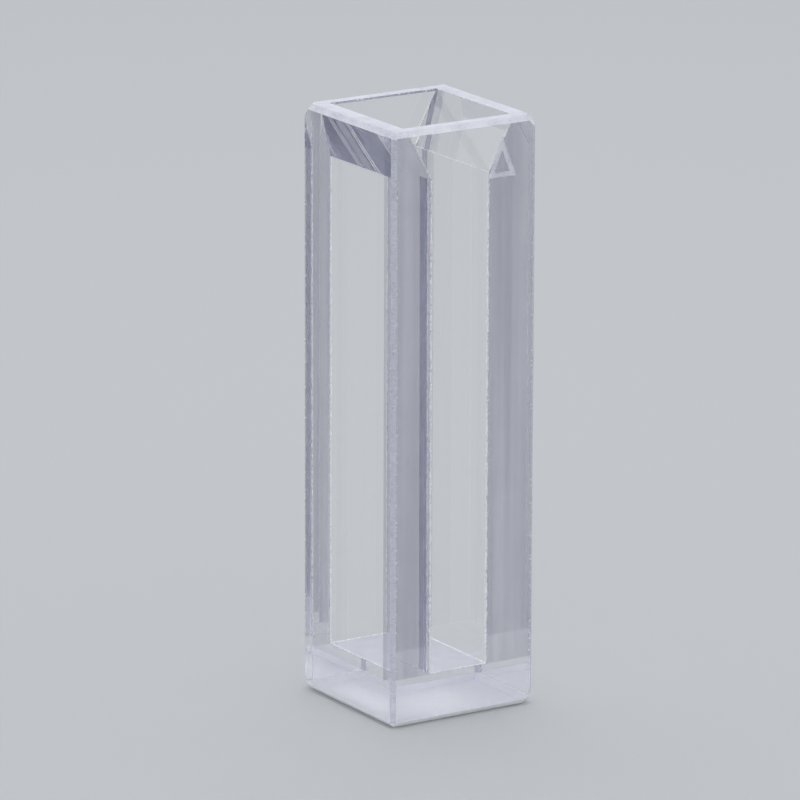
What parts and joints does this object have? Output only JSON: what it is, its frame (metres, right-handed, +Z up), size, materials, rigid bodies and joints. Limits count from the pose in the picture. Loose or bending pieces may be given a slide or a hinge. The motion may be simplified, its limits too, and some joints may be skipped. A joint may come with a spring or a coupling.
{
  "type": "quartz cuvette",
  "caption": "Tall square clear quartz cell, open at the top, with a narrow chamber, sloped filling mouth and ground edges; holds a liquid sample in a light beam.",
  "frame": {"origin": "centre of the underside, on the surface the cell stands on", "axes": "+Z up through the open mouth; Y along the light path, the marked front window towards -Y; X across the narrow chamber"},
  "size_m": [0.0126, 0.0126, 0.045],
  "materials": {
    "quartz": "polished fused quartz, mouth slopes included, with fine-ground edges, rim and underside"
  },
  "bodies": {
    "root": {"front_window": "quartz", "rear_window": "quartz", "left_block": "quartz", "right_block": "quartz", "floor_block": "quartz"}
  },
  "joints": []
}
